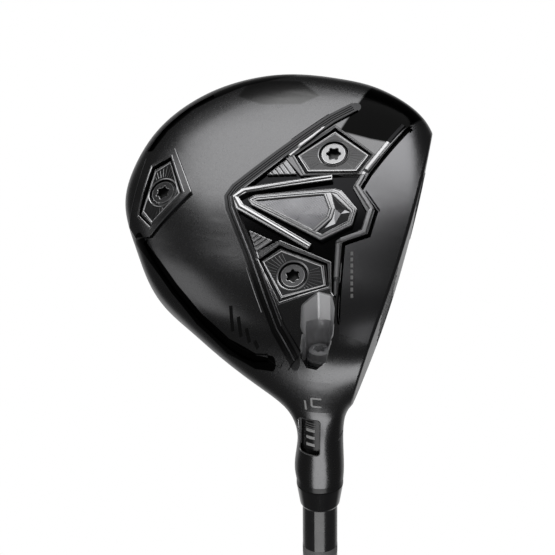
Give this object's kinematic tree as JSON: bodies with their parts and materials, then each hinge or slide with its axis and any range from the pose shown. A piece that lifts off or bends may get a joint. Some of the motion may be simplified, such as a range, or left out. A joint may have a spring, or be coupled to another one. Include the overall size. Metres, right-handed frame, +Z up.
{
  "type": "fairway wood",
  "caption": "Adjustable fairway wood with a compact hollow head, bolted hosel sleeve, screw-in sole weights, tapered shaft and rubber grip.",
  "frame": {"origin": "on the ground below the middle of the sole, at address", "axes": "+X from toe to heel, +Y from face to rear, +Z up; the shaft leans towards +X by its lie angle of 58.3 degrees"},
  "size_m": [0.6511, 0.0795, 0.9325],
  "materials": {
    "chassis_black": "satin black coating over cast titanium, glossy in the sole's centre and towards the toe",
    "face_black": "fine brushed satin black",
    "crown_black": "gloss black clear coat over carbon fibre",
    "bare_steel": "plain machined steel",
    "rim_black": "polished dark metal",
    "lens_grey": "satin grey resin with a fine diagonal weave",
    "gem_black": "glossy faceted black resin",
    "rail_black": "polished dark metal rails",
    "chevron_grey": "satin dark grey with polished bars",
    "weight_grey": "dark machined metal with fine lines",
    "screw_light": "light machined ring",
    "screw_dark": "dark burnished steel",
    "bolt_steel": "bright zinc-plated steel",
    "sleeve_black": "black anodised aluminium",
    "ferrule_black": "polished black plastic",
    "shaft_black": "satin-gloss black paint over graphite",
    "tape_white": "pale double-sided paper tape",
    "grip_rubber": "matt black textured rubber",
    "cap_rubber": "matt black rubber"
  },
  "bodies": {
    "head": {"head_chassis": "chassis_black", "face_shell": "face_black", "crown_panel": "crown_black", "bridge_weight": "bare_steel", "badge_rim": "rim_black", "badge_lens": "lens_grey", "badge_gem": "gem_black", "v_rail": "rail_black", "toe_chevron": "chevron_grey", "heel_chevron": "chevron_grey"},
    "toe_weight_body": {"toe_weight": "weight_grey"},
    "toe_screw_body": {"toe_screw": "screw_light"},
    "heel_weight_body": {"heel_weight": "weight_grey"},
    "heel_screw_body": {"heel_screw": "screw_dark"},
    "rear_weight_body": {"rear_weight": "weight_grey"},
    "rear_screw_body": {"rear_screw": "screw_dark"},
    "washer_body": {"bolt_washer": "bolt_steel"},
    "bolt_body": {"hosel_bolt": "bolt_steel"},
    "shaft_assembly": {"hosel_sleeve": "sleeve_black", "ferrule": "ferrule_black", "shaft": "shaft_black", "grip_tape": "tape_white", "grip": "grip_rubber", "grip_cap": "cap_rubber"}
  },
  "joints": [
    {"name": "toe_weight_slide", "type": "slide", "parent": "head", "child": "toe_weight_body", "axis": [-0.0851, -0.0267, -0.996], "range_m": [0, 0.0044]},
    {"name": "toe_screw_turn", "type": "hinge", "parent": "toe_weight_body", "child": "toe_screw_body", "pos_m": [-0.0202, -0.003, 0.00154], "axis": [-0.0851, -0.0267, -0.996], "range_deg": [0, 1990]},
    {"name": "heel_weight_slide", "type": "slide", "parent": "head", "child": "heel_weight_body", "axis": [0.0602, -0.0073, -0.9982], "range_m": [0, 0.0044]},
    {"name": "heel_screw_turn", "type": "hinge", "parent": "heel_weight_body", "child": "heel_screw_body", "pos_m": [0.0166, -0.0025, 0.0011], "axis": [0.0602, -0.0073, -0.9982], "range_deg": [0, 1990]},
    {"name": "rear_weight_slide", "type": "slide", "parent": "head", "child": "rear_weight_body", "axis": [0.0478, 0.2496, -0.9672], "range_m": [0, 0.0044]},
    {"name": "rear_screw_turn", "type": "hinge", "parent": "rear_weight_body", "child": "rear_screw_body", "pos_m": [-0.0018, 0.0391, 0.00341], "axis": [0.0478, 0.2496, -0.9672], "range_deg": [0, 1990]},
    {"name": "washer_slide", "type": "slide", "parent": "head", "child": "washer_body", "axis": [-0.5255, 0, -0.8508], "range_m": [0, 0.0064]},
    {"name": "bolt_turn", "type": "hinge", "parent": "washer_body", "child": "bolt_body", "pos_m": [0.02961, -0.0113, 0.01361], "axis": [-0.5255, 0, -0.8508], "range_deg": [0, 2890]},
    {"name": "shaft_pull", "type": "slide", "parent": "head", "child": "shaft_assembly", "axis": [0.5255, 0, 0.8508], "range_m": [0, 0.045]}
  ],
  "couplings": [
    {"joint": "toe_screw_turn", "follows": "toe_weight_slide", "rad_per_m": 7854},
    {"joint": "heel_screw_turn", "follows": "heel_weight_slide", "rad_per_m": 7854},
    {"joint": "rear_screw_turn", "follows": "rear_weight_slide", "rad_per_m": 7854},
    {"joint": "bolt_turn", "follows": "washer_slide", "rad_per_m": 7854}
  ]
}
